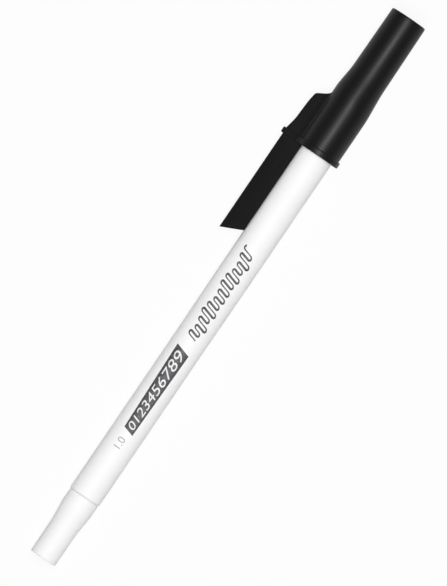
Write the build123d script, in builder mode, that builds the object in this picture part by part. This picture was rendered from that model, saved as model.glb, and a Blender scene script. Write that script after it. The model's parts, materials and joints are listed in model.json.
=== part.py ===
from build123d import *

import os
from math import asin, atan2, cos, hypot, radians, sin, sqrt, tan

# A capped stick ballpoint pen that lies on a table, in millimetres.
# The pen's axis is X: the end plug's rear face is at the origin and the cap's top is at +X.
# Z is up. The pen lies on the cap's lip, and its clip, on the +Y side, leans down until the
# lip around the clip's root touches the same table.

# Barrel: a tube with a parallel rear stretch, a slight moulding draft and a parallel front
barrel_length = 103.5
barrel_rear_diameter = 7.9
barrel_front_diameter = 8.1
barrel_wall = 1.1
barrel_parallel_length = 41.0
barrel_draft_length = 22.0
barrel_edge_chamfer = 0.25

# Nose: the barrel's tapered front end, in front of the shoulder that stops the cap
nose_length = 13.0
nose_neck_length = 2.5
nose_tip_wall = 0.55
nose_bore_lead = 1.6

# End plug: a collar, a flare down to a slightly tapered tail, and a hollow spigot in the barrel
plug_length = 16.8
plug_tail_length = 8.9
plug_flare_length = 4.7
plug_collar_step = 0.17
plug_flare_depth = 0.44
plug_tail_taper = 0.07
plug_spigot_length = 8.0
plug_spigot_wall = 1.2
plug_end_wall = 1.6
plug_end_radius = 0.35
plug_edge_chamfer = 0.25

# Cap: a lip, a sleeve over the barrel, a raked shoulder and a tapered closed tube
cap_seat_depth = 9.6
cap_sleeve_wall = 1.04
cap_stop_width = 0.35
cap_neck_step = 0.44
cap_tube_taper = 0.25
cap_tube_wall = 0.95
cap_top_thickness = 1.4
cap_top_radius = 0.35
cap_vent_diameter = 3.0
cap_mouth_chamfer = 0.15
lip_height = 1.4
lip_proud = 0.45
lip_corner_radius = 0.5
lip_edge_radius = 0.2

# Cap's shoulder: where it starts above the mouth and its slope in degrees, on the side away
# from the clip and on the clip's side
shoulder_far_start = 12.7
shoulder_clip_start = 16.5
shoulder_far_slope = 4.4
shoulder_clip_slope = 6.3

# Clip: a channel that is open towards the barrel, hung from a block on the cap's sleeve
clip_length = 25.1
clip_end_slant = 2.45
clip_height = 3.8
clip_width = 5.0
clip_side_wall = 0.9
clip_roof = 1.1
clip_edge_radius = 0.35
clip_end_radius = 0.4
block_length = 11.5
block_height = 3.2
block_top_height = 2.9
block_flare_length = 3.0
block_slope_run = 1.6
block_corner_radius = 0.8
block_root_radius = 0.8

# Refill: ink tube, ink, tip holder, writing point and ball
tube_diameter = 3.0
tube_wall = 0.5
ink_head_space = 17.0
holder_sleeve_length = 6.0
holder_front_length = 2.4
holder_front_wall = 0.34
holder_spigot_length = 5.0
holder_feed_diameter = 1.0
point_shank_diameter = 2.3
point_shank_length = 4.0
point_straight_length = 0.6
point_cone_length = 3.7
point_nib_wall = 0.18
point_nib_length = 0.5
point_crimp_length = 0.45
point_rim_width = 0.05
point_feed_diameter = 0.6
ball_diameter = 1.0
ball_crimp_angle = 25.0

# Clearances on the radius, and free lengths inside the barrel and the cap
cap_fit = 0.05
clip_gap = 0.17
nose_gap = 0.3
press_gap = 0.01
tube_gap = 0.05
ball_play = 0.02
tube_end_gap = 4.5
point_clearance = 5.67

# Radii
barrel_rear_radius = barrel_rear_diameter / 2
barrel_front_radius = barrel_front_diameter / 2
barrel_bore_radius = barrel_rear_radius - barrel_wall
plug_collar_radius = barrel_rear_radius - plug_collar_step
plug_waist_radius = plug_collar_radius - plug_flare_depth
plug_spigot_radius = barrel_bore_radius - press_gap
plug_bore_radius = plug_spigot_radius - plug_spigot_wall
cap_bore_radius = barrel_front_radius + cap_fit
cap_stop_radius = cap_bore_radius - cap_stop_width
sleeve_radius = cap_bore_radius + cap_sleeve_wall
cap_neck_radius = sleeve_radius - cap_neck_step
cap_end_radius = cap_neck_radius - cap_tube_taper
lip_radius = sleeve_radius + lip_proud
nose_neck_radius = cap_stop_radius - nose_gap
tube_radius = tube_diameter / 2
tube_bore_radius = tube_radius - tube_wall
nose_bore_radius = tube_radius + tube_gap
nose_tip_radius = nose_bore_radius + nose_tip_wall
holder_radius = nose_bore_radius - press_gap
holder_spigot_radius = tube_bore_radius - press_gap
point_shank_radius = point_shank_diameter / 2
holder_socket_radius = point_shank_radius + press_gap
ball_radius = ball_diameter / 2
seat_radius = ball_radius + ball_play
nib_radius = seat_radius + point_nib_wall

# Stations along the axis
plug_flare_x = plug_tail_length + plug_flare_length
plug_front_x = plug_length + plug_spigot_length
barrel_rear_x = plug_length
barrel_draft_x = barrel_rear_x + barrel_parallel_length
barrel_shoulder_x = barrel_rear_x + barrel_length
neck_x = barrel_shoulder_x + nose_neck_length
nose_x = barrel_shoulder_x + nose_length
nose_bore_x = barrel_shoulder_x - nose_bore_lead
holder_rear_x = nose_x - holder_sleeve_length
holder_spigot_x = holder_rear_x - holder_spigot_length
holder_front_x = nose_x + holder_front_length
point_rear_x = holder_front_x - point_shank_length
point_cone_x = holder_front_x + point_straight_length
nib_x = point_cone_x + point_cone_length
crimp_x = nib_x + point_nib_length
rim_x = crimp_x + point_crimp_length
ball_x = rim_x - seat_radius * sin(radians(ball_crimp_angle))
tube_rear_x = plug_front_x + tube_end_gap
ink_rear_x = tube_rear_x + ink_head_space
mouth_x = barrel_shoulder_x - cap_seat_depth
lip_top_x = mouth_x + lip_height
cap_inner_top_x = ball_x + ball_radius + point_clearance
cap_top_x = cap_inner_top_x + cap_top_thickness
shoulder_far_x = mouth_x + shoulder_far_start
shoulder_clip_x = mouth_x + shoulder_clip_start
shoulder_end_x = shoulder_clip_x + (sleeve_radius - cap_end_radius) / tan(radians(shoulder_clip_slope))
clip_end_x = mouth_x - clip_length
block_corner_x = mouth_x + block_length

# Distances from the pen's axis out through the clip. The clip's side walls end just clear of
# the barrel and follow its curve.
clip_channel_width = clip_width - 2 * clip_side_wall
clip_relief_radius = barrel_front_radius + clip_gap
clip_inner = sqrt(clip_relief_radius**2 - (clip_width / 2) ** 2)
clip_reach = sleeve_radius + clip_height
block_reach = sleeve_radius + block_height
block_top_reach = sleeve_radius + block_top_height
lip_reach = clip_reach + lip_proud
lip_width = clip_width + 2 * lip_proud

# How far the clip leans down: the lip's rounded corner beside the clip comes as low as the lip
corner_reach = lip_reach - lip_corner_radius
corner_side = lip_width / 2 - lip_corner_radius
corner_drop = (lip_radius - lip_corner_radius) / hypot(corner_reach, corner_side)
lean = asin(corner_drop) - atan2(corner_side, corner_reach)

# The clip's side view: X along the pen, Y from the pen's axis out through the clip
clip_plane = Plane(origin=(0, 0, 0), x_dir=(1, 0, 0), z_dir=(0, sin(lean), cos(lean)))


def section_plane(x):
    """A plane across the pen's axis at x, with its own X towards the clip."""
    return Plane(origin=(x, 0, 0), x_dir=(0, cos(lean), -sin(lean)), z_dir=(1, 0, 0))


def ring_edge(piece, x, radius):
    """The round edge of a turned piece that lies at x and has this radius."""
    return piece.edges().filter_by(GeomType.CIRCLE).sort_by_distance((x, radius, 0))[0]


os.makedirs("parts", exist_ok=True)

# Barrel, with its nose
with BuildPart() as barrel:
    with BuildSketch(Plane.XY):
        with BuildLine():
            Polyline(
                (barrel_rear_x, barrel_bore_radius),
                (barrel_rear_x, barrel_rear_radius),
                (barrel_draft_x, barrel_rear_radius),
                (barrel_draft_x + barrel_draft_length, barrel_front_radius),
                (barrel_shoulder_x, barrel_front_radius),
                (barrel_shoulder_x, nose_neck_radius),
                (neck_x, nose_neck_radius),
            )
            TangentArc((neck_x, nose_neck_radius), (nose_x, nose_tip_radius), tangent=(1, 0))
            Polyline(
                (nose_x, nose_tip_radius),
                (nose_x, nose_bore_radius),
                (nose_bore_x + barrel_bore_radius - nose_bore_radius, nose_bore_radius),
                (nose_bore_x, barrel_bore_radius),
                (barrel_rear_x, barrel_bore_radius),
            )
        make_face()
    revolve(axis=Axis.X)
    chamfer(ring_edge(barrel, barrel_rear_x, barrel_rear_radius), barrel_edge_chamfer)
    chamfer(ring_edge(barrel, barrel_shoulder_x, barrel_front_radius), barrel_edge_chamfer)
barrel.part.label = "barrel"
export_step(barrel.part, "parts/barrel.step")

# End plug, pressed into the barrel's rear end
with BuildPart() as end_plug:
    with BuildSketch(Plane.XY):
        with BuildLine():
            Polyline(
                (0, 0),
                (0, plug_waist_radius - plug_tail_taper),
                (plug_tail_length, plug_waist_radius),
                (plug_flare_x, plug_collar_radius),
                (plug_length, plug_collar_radius),
                (plug_length, plug_spigot_radius),
                (plug_front_x, plug_spigot_radius),
                (plug_front_x, plug_bore_radius),
                (plug_end_wall, plug_bore_radius),
                (plug_end_wall, 0),
                close=True,
            )
        make_face()
    revolve(axis=Axis.X)
    fillet(ring_edge(end_plug, 0, plug_waist_radius - plug_tail_taper), plug_end_radius)
    chamfer(ring_edge(end_plug, plug_length, plug_collar_radius), plug_edge_chamfer)
    chamfer(ring_edge(end_plug, plug_front_x, plug_spigot_radius), plug_edge_chamfer)
end_plug.part.label = "end_plug"
export_step(end_plug.part, "parts/end_plug.step")

# Cap with its clip, one moulding
with BuildPart() as cap:
    # Sleeve, cut by a cone off the axis, which rakes its shoulder up towards the clip
    with BuildSketch(section_plane(mouth_x)):
        Circle(sleeve_radius)
    extrude(amount=shoulder_end_x - mouth_x)
    for x in (mouth_x, shoulder_end_x):
        far_side = sleeve_radius + (shoulder_far_x - x) * tan(radians(shoulder_far_slope))
        clip_side = sleeve_radius + (shoulder_clip_x - x) * tan(radians(shoulder_clip_slope))
        with BuildSketch(section_plane(x)):
            with Locations(((clip_side - far_side) / 2, 0)):
                Circle((clip_side + far_side) / 2)
    loft(ruled=True, mode=Mode.INTERSECT)

    # Upper tube
    with BuildSketch(Plane.XY):
        with BuildLine():
            Polyline(
                (shoulder_far_x, 0),
                (shoulder_far_x, cap_neck_radius),
                (cap_top_x, cap_end_radius),
                (cap_top_x, 0),
                close=True,
            )
        make_face()
    revolve(axis=Axis.X)
    fillet(ring_edge(cap, cap_top_x, cap_end_radius), cap_top_radius)

    # Clip and block, seen from the side: the block's top slopes down into the sleeve
    flare_end_x = lip_top_x + block_flare_length
    block_top_slope = block_slope_run / (block_top_reach - sleeve_radius)
    block_root_x = block_corner_x + block_top_slope * (block_top_reach - clip_inner)
    with BuildSketch(clip_plane) as clip_outline:
        with BuildLine():
            Polyline(
                (flare_end_x, block_reach),
                (block_corner_x, block_top_reach),
                (block_root_x, clip_inner),
                (clip_end_x + clip_end_slant, clip_inner),
                (clip_end_x, clip_reach),
                (lip_top_x, clip_reach),
                close=True,
            )
        make_face()
        end_corner = clip_outline.vertices().sort_by_distance((clip_end_x, clip_reach))[0]
        fillet(end_corner, clip_end_radius)
        top_corner = clip_outline.vertices().sort_by_distance((block_corner_x, block_top_reach))[0]
        fillet(top_corner, block_corner_radius)
    extrude(amount=clip_width / 2, both=True)

    # Rounded edges along both flanks, and a moulded fillet where the block leaves the sleeve
    def in_clip_view(edge):
        return clip_plane.to_local_coords(edge @ 0.5)

    def is_flank(edge):
        place = in_clip_view(edge)
        return abs(place.Z) > clip_width / 2 - press_gap and place.Y > sleeve_radius

    def is_root(edge):
        place = in_clip_view(edge)
        on_sleeve = abs(hypot(place.Y, place.Z) - sleeve_radius) < press_gap
        return on_sleeve and mouth_x < place.X < block_root_x

    fillet(cap.edges().filter_by(is_flank), clip_edge_radius)
    fillet(cap.edges().filter_by(is_root), block_root_radius)

    # Lip around the mouth and the clip's root
    with BuildSketch(section_plane(mouth_x)) as lip_outline:
        Circle(lip_radius)
        with Locations((lip_reach / 2, 0)):
            Rectangle(lip_reach, lip_width)
        fillet(lip_outline.vertices(), lip_corner_radius)
    extrude(amount=lip_height)
    for x in (mouth_x, lip_top_x):
        lip_face = cap.faces().filter_by(Axis.X).sort_by(lambda face: abs(face.center().X - x))[0]
        fillet(lip_face.outer_wire().edges(), lip_edge_radius)

    # Channel under the clip, and room for the barrel between its walls
    with BuildSketch(section_plane(mouth_x)):
        with Locations(((clip_reach - clip_roof) / 2, 0)):
            Rectangle(clip_reach - clip_roof, clip_channel_width)
    extrude(amount=-clip_length, mode=Mode.SUBTRACT)
    with BuildSketch(section_plane(mouth_x)):
        Circle(clip_relief_radius)
    extrude(amount=-clip_length, mode=Mode.SUBTRACT)

    # Bore for the barrel, with a step that stops on the barrel's shoulder
    with BuildSketch(Plane.XY):
        with BuildLine():
            Polyline(
                (mouth_x, 0),
                (mouth_x, cap_bore_radius + cap_mouth_chamfer),
                (mouth_x + cap_mouth_chamfer, cap_bore_radius),
                (barrel_shoulder_x, cap_bore_radius),
                (barrel_shoulder_x, cap_stop_radius),
                (cap_inner_top_x, cap_end_radius - cap_tube_wall),
                (cap_inner_top_x, 0),
                close=True,
            )
        make_face()
    revolve(axis=Axis.X, mode=Mode.SUBTRACT)

    # Air vent through the top
    with BuildSketch(section_plane(cap_top_x)):
        Circle(cap_vent_diameter / 2)
    extrude(amount=-cap_top_thickness, mode=Mode.SUBTRACT)
cap.part.label = "cap"
export_step(cap.part, "parts/cap.step")

# Ink tube, pushed over the tip holder's spigot
with BuildPart() as ink_tube:
    with BuildSketch(Plane.YZ.offset(tube_rear_x)):
        Circle(tube_radius)
        Circle(tube_bore_radius, mode=Mode.SUBTRACT)
    extrude(amount=holder_rear_x - tube_rear_x)
ink_tube.part.label = "ink_tube"
export_step(ink_tube.part, "parts/ink_tube.step")

# Ink column, from the emptied stretch of the tube to the tip holder's spigot
with BuildPart() as ink_column:
    with BuildSketch(Plane.YZ.offset(ink_rear_x)):
        Circle(tube_bore_radius - press_gap)
    extrude(amount=holder_spigot_x - ink_rear_x)
ink_column.part.label = "ink_column"
export_step(ink_column.part, "parts/ink_column.step")

# Tip holder, pressed into the barrel's nose
with BuildPart() as tip_holder:
    with BuildSketch(Plane.XY):
        with BuildLine():
            Polyline(
                (holder_spigot_x, holder_feed_diameter / 2),
                (holder_spigot_x, holder_spigot_radius),
                (holder_rear_x, holder_spigot_radius),
                (holder_rear_x, holder_radius),
                (nose_x, holder_radius),
                (nose_x, nose_tip_radius),
                (holder_front_x, holder_socket_radius + holder_front_wall),
                (holder_front_x, holder_socket_radius),
                (point_rear_x, holder_socket_radius),
                (point_rear_x, holder_feed_diameter / 2),
                close=True,
            )
        make_face()
    revolve(axis=Axis.X)
tip_holder.part.label = "tip_holder"
export_step(tip_holder.part, "parts/tip_holder.step")

# Writing point, turned from rod, with its rim closed over the ball
with BuildPart() as writing_point:
    feed_radius = point_feed_diameter / 2
    rim_radius = seat_radius * cos(radians(ball_crimp_angle))
    seat_rear_x = ball_x - sqrt(seat_radius**2 - feed_radius**2)
    with BuildSketch(Plane.XY):
        with BuildLine():
            Polyline(
                (rim_x, rim_radius),
                (rim_x, rim_radius + point_rim_width),
                (crimp_x, nib_radius),
                (nib_x, nib_radius),
                (point_cone_x, point_shank_radius),
                (point_rear_x, point_shank_radius),
                (point_rear_x, feed_radius),
                (seat_rear_x, feed_radius),
            )
            ThreePointArc((seat_rear_x, feed_radius), (ball_x, seat_radius), (rim_x, rim_radius))
        make_face()
    revolve(axis=Axis.X)
writing_point.part.label = "writing_point"
export_step(writing_point.part, "parts/writing_point.step")

# Writing ball
with BuildPart() as writing_ball:
    with Locations((ball_x, 0, 0)):
        Sphere(ball_radius)
writing_ball.part.label = "writing_ball"
export_step(writing_ball.part, "parts/writing_ball.step")
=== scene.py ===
# %% [markdown]
# # A capped stick ballpoint pen
# A stick pen is a handful of mouldings: a white barrel, a plug in its rear end, a black cap with a
# clip, and a refill inside. The CAD model holds their exact sizes and how they move. This lesson
# gives each visible piece a finer mesh and a finish, and lights the pen as for a catalogue page.
# Everything stays in the CAD model's frame: the pen's axis is X, the plug's rear face is at the
# origin, Z is up, and one Blender unit is one metre.

import json
import math

import bmesh
import bpy
from mathutils import Matrix, Vector

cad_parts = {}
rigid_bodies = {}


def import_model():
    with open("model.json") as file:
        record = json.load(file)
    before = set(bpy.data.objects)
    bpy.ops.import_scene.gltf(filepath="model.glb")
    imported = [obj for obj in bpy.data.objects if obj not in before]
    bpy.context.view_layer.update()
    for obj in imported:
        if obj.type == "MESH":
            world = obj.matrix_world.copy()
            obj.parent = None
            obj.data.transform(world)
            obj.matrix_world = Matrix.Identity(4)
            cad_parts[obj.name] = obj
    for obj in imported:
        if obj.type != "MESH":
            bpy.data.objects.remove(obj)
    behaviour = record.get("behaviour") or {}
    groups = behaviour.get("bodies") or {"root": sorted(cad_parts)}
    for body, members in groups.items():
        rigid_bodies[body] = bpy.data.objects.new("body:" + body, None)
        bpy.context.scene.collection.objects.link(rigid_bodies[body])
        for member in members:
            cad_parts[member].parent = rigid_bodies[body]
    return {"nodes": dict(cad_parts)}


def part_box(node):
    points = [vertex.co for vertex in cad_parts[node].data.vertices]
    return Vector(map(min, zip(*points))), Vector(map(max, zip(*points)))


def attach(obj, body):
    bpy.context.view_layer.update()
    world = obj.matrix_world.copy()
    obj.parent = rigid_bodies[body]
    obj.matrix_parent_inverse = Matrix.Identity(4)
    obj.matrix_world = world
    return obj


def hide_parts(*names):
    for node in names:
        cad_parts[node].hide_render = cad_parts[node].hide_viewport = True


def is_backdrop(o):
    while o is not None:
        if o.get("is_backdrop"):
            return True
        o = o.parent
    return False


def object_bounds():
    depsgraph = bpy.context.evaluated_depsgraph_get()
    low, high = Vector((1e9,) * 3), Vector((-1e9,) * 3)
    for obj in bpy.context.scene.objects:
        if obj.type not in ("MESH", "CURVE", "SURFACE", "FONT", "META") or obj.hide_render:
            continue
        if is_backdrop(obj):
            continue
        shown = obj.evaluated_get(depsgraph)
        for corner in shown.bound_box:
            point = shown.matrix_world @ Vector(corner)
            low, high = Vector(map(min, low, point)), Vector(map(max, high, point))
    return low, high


for start_up_object in list(bpy.data.objects):
    bpy.data.objects.remove(start_up_object)
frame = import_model()
cad_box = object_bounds()

# %% [markdown]
# ## Sizes and colours
# The pieces are drawn in millimetres, as a drawing gives them, and turned to metres once, when a
# mesh is made. Each piece starts and ends where its CAD node does, so one function reads those
# places from the frame. Colours are written as sRGB hex values, the way a paint chart lists them.
# Shaders reckon in linear light, so another function converts them.

# %% Millimetres and colours
MM = 0.001


def ends(node):
    """Where a CAD node starts and ends along the pen, in millimetres."""
    low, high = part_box(node)
    return low.x / MM, high.x / MM


def linear(chart_colour):
    """A colour such as #1b1b1b as the linear red, green, blue and alpha that a shader takes."""
    levels = [int(chart_colour[i : i + 2], 16) / 255 for i in (1, 3, 5)]
    return [v / 12.92 if v <= 0.04045 else ((v + 0.055) / 1.055) ** 2.4 for v in levels] + [1.0]


def per_mm(size_mm):
    """The scale of a texture whose pattern repeats about every size_mm, in metre coordinates."""
    return 1 / (size_mm * MM)


print("the barrel runs from", [round(x, 2) for x in ends("barrel")], "mm")
print("mid grey #808080 is", round(linear("#808080")[0], 3), "in linear light")

# %% [markdown]
# ## Building finishes from nodes
# A finish is a small graph of nodes. One helper adds a node, sets its own settings, and fills each
# input with a number or with another node's output. Where sockets share a name, a number picks
# one: a colour Mix has its factor at 0, its two colours at 6 and 7, and its result at 2. Patterns
# use Object coordinates, which are metres on the piece itself, so a pattern keeps its real size
# and moves with the piece.

# %% Two helpers for materials
def add_node(material, kind, inputs, **settings):
    """Add one node. inputs maps a socket's name or number to a value or to another node's output."""
    node = material.node_tree.nodes.new(kind)
    for setting, value in settings.items():
        setattr(node, setting, value)
    for socket, value in inputs.items():
        if isinstance(value, bpy.types.NodeSocket):
            material.node_tree.links.new(value, node.inputs[socket])
        else:
            node.inputs[socket].default_value = value
    return node


def blank_material(name):
    """A material with an empty graph, and the metre coordinates of the piece that wears it."""
    material = bpy.data.materials.new(name)
    material.use_nodes = True
    material.node_tree.nodes.clear()
    place = add_node(material, "ShaderNodeTexCoord", {}).outputs["Object"]
    return material, place


print("materials before the first finish:", len(bpy.data.materials))

# %% [markdown]
# ## Moulded plastic
# Barrel and plug are injection-moulded polystyrene from a stoned mould, which leaves them a soft,
# even gloss. The cap is polypropylene from a mould with a fine spark-eroded grain, which gives it
# a satin look: a line of light with soft edges and no mirror image. Three things keep such a
# surface from looking computed: the pigment is a touch uneven, handling leaves hairline scuffs
# along the pen that change the gloss, and the mould's grain tilts the surface a little. A
# photograph of a clean plastic could be wrapped on instead, but noise at a real size needs no
# picture and looks right at any distance.

# %% Moulded plastic
CLOUD_MM, SCUFF_MM, SCUFF_STRETCH = 9.0, 0.5, 16.0
CLEAN, SCUFFED = 0.35, 0.7  # the scuff noise is this low on a clean spot, this high on a scuff


def moulded_plastic(name, pigment, pale_pigment, gloss, specular, grain_mm, grain_depth_mm):
    """gloss is the roughness of a clean and of a scuffed spot; the two pigments mix in clouds."""
    material, place = blank_material(name)
    clouds = add_node(
        material, "ShaderNodeTexNoise", {"Vector": place, "Scale": per_mm(CLOUD_MM), "Detail": 3.0}
    )
    colour = add_node(
        material,
        "ShaderNodeMix",
        {0: clouds.outputs["Fac"], 6: linear(pigment), 7: linear(pale_pigment)},
        data_type="RGBA",
    )
    along_the_pen = add_node(
        material, "ShaderNodeMapping", {"Vector": place, "Scale": (1 / SCUFF_STRETCH, 1.0, 1.0)}
    )
    scuffs = add_node(
        material,
        "ShaderNodeTexNoise",
        {"Vector": along_the_pen.outputs["Vector"], "Scale": per_mm(SCUFF_MM), "Detail": 4.0},
    )
    roughness = add_node(
        material,
        "ShaderNodeMapRange",
        {
            "Value": scuffs.outputs["Fac"],
            "From Min": CLEAN,
            "From Max": SCUFFED,
            "To Min": gloss[0],
            "To Max": gloss[1],
        },
    )
    grain = add_node(
        material, "ShaderNodeTexNoise", {"Vector": place, "Scale": per_mm(grain_mm), "Detail": 2.0}
    )
    bump = add_node(
        material,
        "ShaderNodeBump",
        {"Height": grain.outputs["Fac"], "Distance": grain_depth_mm * MM, "Strength": 1.0},
    )
    shader = add_node(
        material,
        "ShaderNodeBsdfPrincipled",
        {
            "Base Color": colour.outputs[2],
            "Roughness": roughness.outputs["Result"],
            "IOR": 1.5,
            "Specular IOR Level": specular,
            "Normal": bump.outputs["Normal"],
        },
    )
    add_node(material, "ShaderNodeOutputMaterial", {"Surface": shader.outputs["BSDF"]})
    return material


print("scuffs are", SCUFF_MM, "mm wide and about", SCUFF_MM * SCUFF_STRETCH, "mm long")

# %% White and black plastic
white_polystyrene = moulded_plastic(
    "white_polystyrene_soft_gloss_moulded",
    pigment="#efefef",
    pale_pigment="#f3f3f3",
    gloss=(0.54, 0.62),
    specular=0.2,
    grain_mm=1.2,
    grain_depth_mm=0.002,
)
black_polypropylene = moulded_plastic(
    "black_polypropylene_satin_moulded",
    pigment="#121212",
    pale_pigment="#161616",
    gloss=(0.38, 0.44),
    specular=0.18,
    grain_mm=0.35,
    grain_depth_mm=0.005,
)
print("plastics:", white_polystyrene.name, black_polypropylene.name)

# %% [markdown]
# ## Turned and lapped metal
# The writing point is nickel silver, turned on an automatic lathe. The tool leaves rings about a
# hundredth of a millimetre apart, which stretch every highlight into a line along the point. Those
# rings are far too fine to see here, so they are drawn 0.12 mm apart. The ball is tungsten carbide,
# lapped to a fine matt, with a film of ink on the side that has just turned out of its seat.

# %% Nickel silver
RING_MM, RING_DEPTH_MM, STAIN_MM = 0.12, 0.0015, 1.1
BRIGHT, STAINED = 0.18, 0.34  # roughness where the metal is bright and where it is stained
WAVES_PER_UNIT = 20 / math.tau  # a Wave texture's own count of bands in one unit of its scale
nickel_silver, place = blank_material("nickel_silver_turned")
rings = add_node(
    nickel_silver,
    "ShaderNodeTexWave",
    {"Vector": place, "Scale": per_mm(RING_MM) / WAVES_PER_UNIT, "Distortion": 0.4, "Detail": 2.0},
    bands_direction="X",
)
stains = add_node(
    nickel_silver, "ShaderNodeTexNoise", {"Vector": place, "Scale": per_mm(STAIN_MM), "Detail": 4.0}
)
tone = add_node(
    nickel_silver,
    "ShaderNodeMix",
    {0: stains.outputs["Fac"], 6: linear("#d2cabb"), 7: linear("#b9ae9a")},
    data_type="RGBA",
)
tool_gloss = add_node(
    nickel_silver,
    "ShaderNodeMapRange",
    {"Value": stains.outputs["Fac"], "To Min": BRIGHT, "To Max": STAINED},
)
bump = add_node(
    nickel_silver,
    "ShaderNodeBump",
    {"Height": rings.outputs["Fac"], "Distance": RING_DEPTH_MM * MM, "Strength": 1.0},
)
shader = add_node(
    nickel_silver,
    "ShaderNodeBsdfPrincipled",
    {
        "Base Color": tone.outputs[2],
        "Metallic": 1.0,
        "Roughness": tool_gloss.outputs["Result"],
        "Normal": bump.outputs["Normal"],
    },
)
add_node(nickel_silver, "ShaderNodeOutputMaterial", {"Surface": shader.outputs["BSDF"]})
print("turned rings every", RING_MM, "mm on", nickel_silver.name)

# %% Carbide with a film of ink
FILM_PATCH_MM = 0.45
BARE, INKED = 0.46, 0.56  # the film noise is this low on bare metal, this high under ink
LAPPED, WET = 0.32, 0.12  # roughness of the lapped metal and of the ink on it
carbide, place = blank_material("tungsten_carbide_lapped_inky")
film = add_node(
    carbide, "ShaderNodeTexNoise", {"Vector": place, "Scale": per_mm(FILM_PATCH_MM), "Detail": 3.0}
)
inked = add_node(
    carbide,
    "ShaderNodeMapRange",
    {"Value": film.outputs["Fac"], "From Min": BARE, "From Max": INKED},
)
tone = add_node(
    carbide,
    "ShaderNodeMix",
    {0: inked.outputs["Result"], 6: linear("#9a9ca1"), 7: linear("#101014")},
    data_type="RGBA",
)
metal = add_node(
    carbide,
    "ShaderNodeMapRange",
    {"Value": inked.outputs["Result"], "To Min": 1.0, "To Max": 0.0},
)
lapping = add_node(
    carbide,
    "ShaderNodeMapRange",
    {"Value": inked.outputs["Result"], "To Min": LAPPED, "To Max": WET},
)
shader = add_node(
    carbide,
    "ShaderNodeBsdfPrincipled",
    {
        "Base Color": tone.outputs[2],
        "Metallic": metal.outputs["Result"],
        "Roughness": lapping.outputs["Result"],
    },
)
add_node(carbide, "ShaderNodeOutputMaterial", {"Surface": shader.outputs["BSDF"]})
print("ink film on", carbide.name)

# %% [markdown]
# ## Tube and ink
# The refill's tube is extruded polypropylene, milky because its crystals scatter light. The ink is
# a dark paste that shines where it wets the tube. Both are plastics to a shader, so they come from
# the same function, and the tube also lets light through. The two keep their CAD meshes: a plain
# tube and a plain column that only a cut through the barrel would show.

# %% Tube and ink
tube_plastic = moulded_plastic(
    "polypropylene_tube_extruded",
    pigment="#dfe3e3",
    pale_pigment="#e8ebea",
    gloss=(0.3, 0.4),
    specular=0.5,
    grain_mm=0.8,
    grain_depth_mm=0.003,
)
tube_shader = next(n for n in tube_plastic.node_tree.nodes if n.type == "BSDF_PRINCIPLED")
tube_shader.inputs["Transmission Weight"].default_value = 0.6
ink_paste = moulded_plastic(
    "ballpoint_ink_paste",
    pigment="#08080b",
    pale_pigment="#0d0d12",
    gloss=(0.08, 0.16),
    specular=0.5,
    grain_mm=1.5,
    grain_depth_mm=0.01,
)
for node_name, finish in (("ink_tube", tube_plastic), ("ink_column", ink_paste)):
    cad_node = frame["nodes"][node_name]
    cad_node.data.materials.clear()
    cad_node.data.materials.append(finish)
    print(node_name, "keeps its CAD mesh and wears", finish.name)

# %% [markdown]
# ## Turned forms
# Most of a pen is round, so one profile spun about the axis gives a whole piece, as on a lathe.
# A screw modifier could do it, but bmesh's spin leaves a plain mesh that is ready to export. No
# moulded or turned edge is truly sharp, so every corner of a profile has a small radius: crisp
# where two pieces fit, broken where a tool took the edge off, and soft where plastic was moulded.
# Long runs are divided so that the faces stay compact.

# %% Profile with rounded corners
FIT_EDGE, BROKEN_EDGE, SOFT_EDGE, SEAM_EDGE = 0.05, 0.12, 0.3, 0.42
LONGEST_RUN, CORNER_STEPS = 2.5, 5


def softened(corners, closed):
    """A profile's (x, radius, corner radius) corners as points with rounded corners."""
    points = []
    for i, (x, radius, soft) in enumerate(corners):
        corner = Vector((x, radius))
        if not soft:
            points.append(corner)
            continue
        back = Vector(corners[i - 1][:2]) - corner
        on = Vector(corners[(i + 1) % len(corners)][:2]) - corner
        cut = min(soft / math.tan(back.angle(on) / 2), back.length / 2, on.length / 2)
        start, end = corner + back.normalized() * cut, corner + on.normalized() * cut
        for step in range(CORNER_STEPS + 1):
            f = step / CORNER_STEPS
            points.append(start * (1 - f) ** 2 + corner * (2 * f * (1 - f)) + end * f * f)
    divided = []
    for a, b in zip(points, points[1:] + points[:1]):
        parts = max(1, math.ceil((b - a).length / LONGEST_RUN))
        divided += [a.lerp(b, k / parts) for k in range(parts)]
    return divided if closed else divided[: divided.index(points[-1]) + 1]


square = [(0, 1, SOFT_EDGE), (1, 1, SOFT_EDGE), (1, 2, SOFT_EDGE), (0, 2, SOFT_EDGE)]
print("a square with soft corners has", len(softened(square, closed=True)), "points")

# %% Spin
SPIN_STEPS, SAME_POINT_MM = 128, 1e-4


def spun(corners, closed=True, steps=SPIN_STEPS):
    """The profile turned about the pen's axis. An open profile starts and ends on the axis."""
    form = bmesh.new()
    dots = [form.verts.new((p.x * MM, p.y * MM, 0)) for p in softened(corners, closed)]
    pairs = zip(dots, dots[1:] + dots[:1]) if closed else zip(dots, dots[1:])
    lines = [form.edges.new(pair) for pair in pairs]
    bmesh.ops.spin(
        form, geom=dots + lines, axis=(1, 0, 0), cent=(0, 0, 0), angle=math.tau, steps=steps
    )
    bmesh.ops.remove_doubles(form, verts=form.verts, dist=SAME_POINT_MM * MM)
    return form


print("a turned piece has", SPIN_STEPS, "faces around")

# %% Piece
SHARP_ANGLE = math.radians(38)


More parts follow.
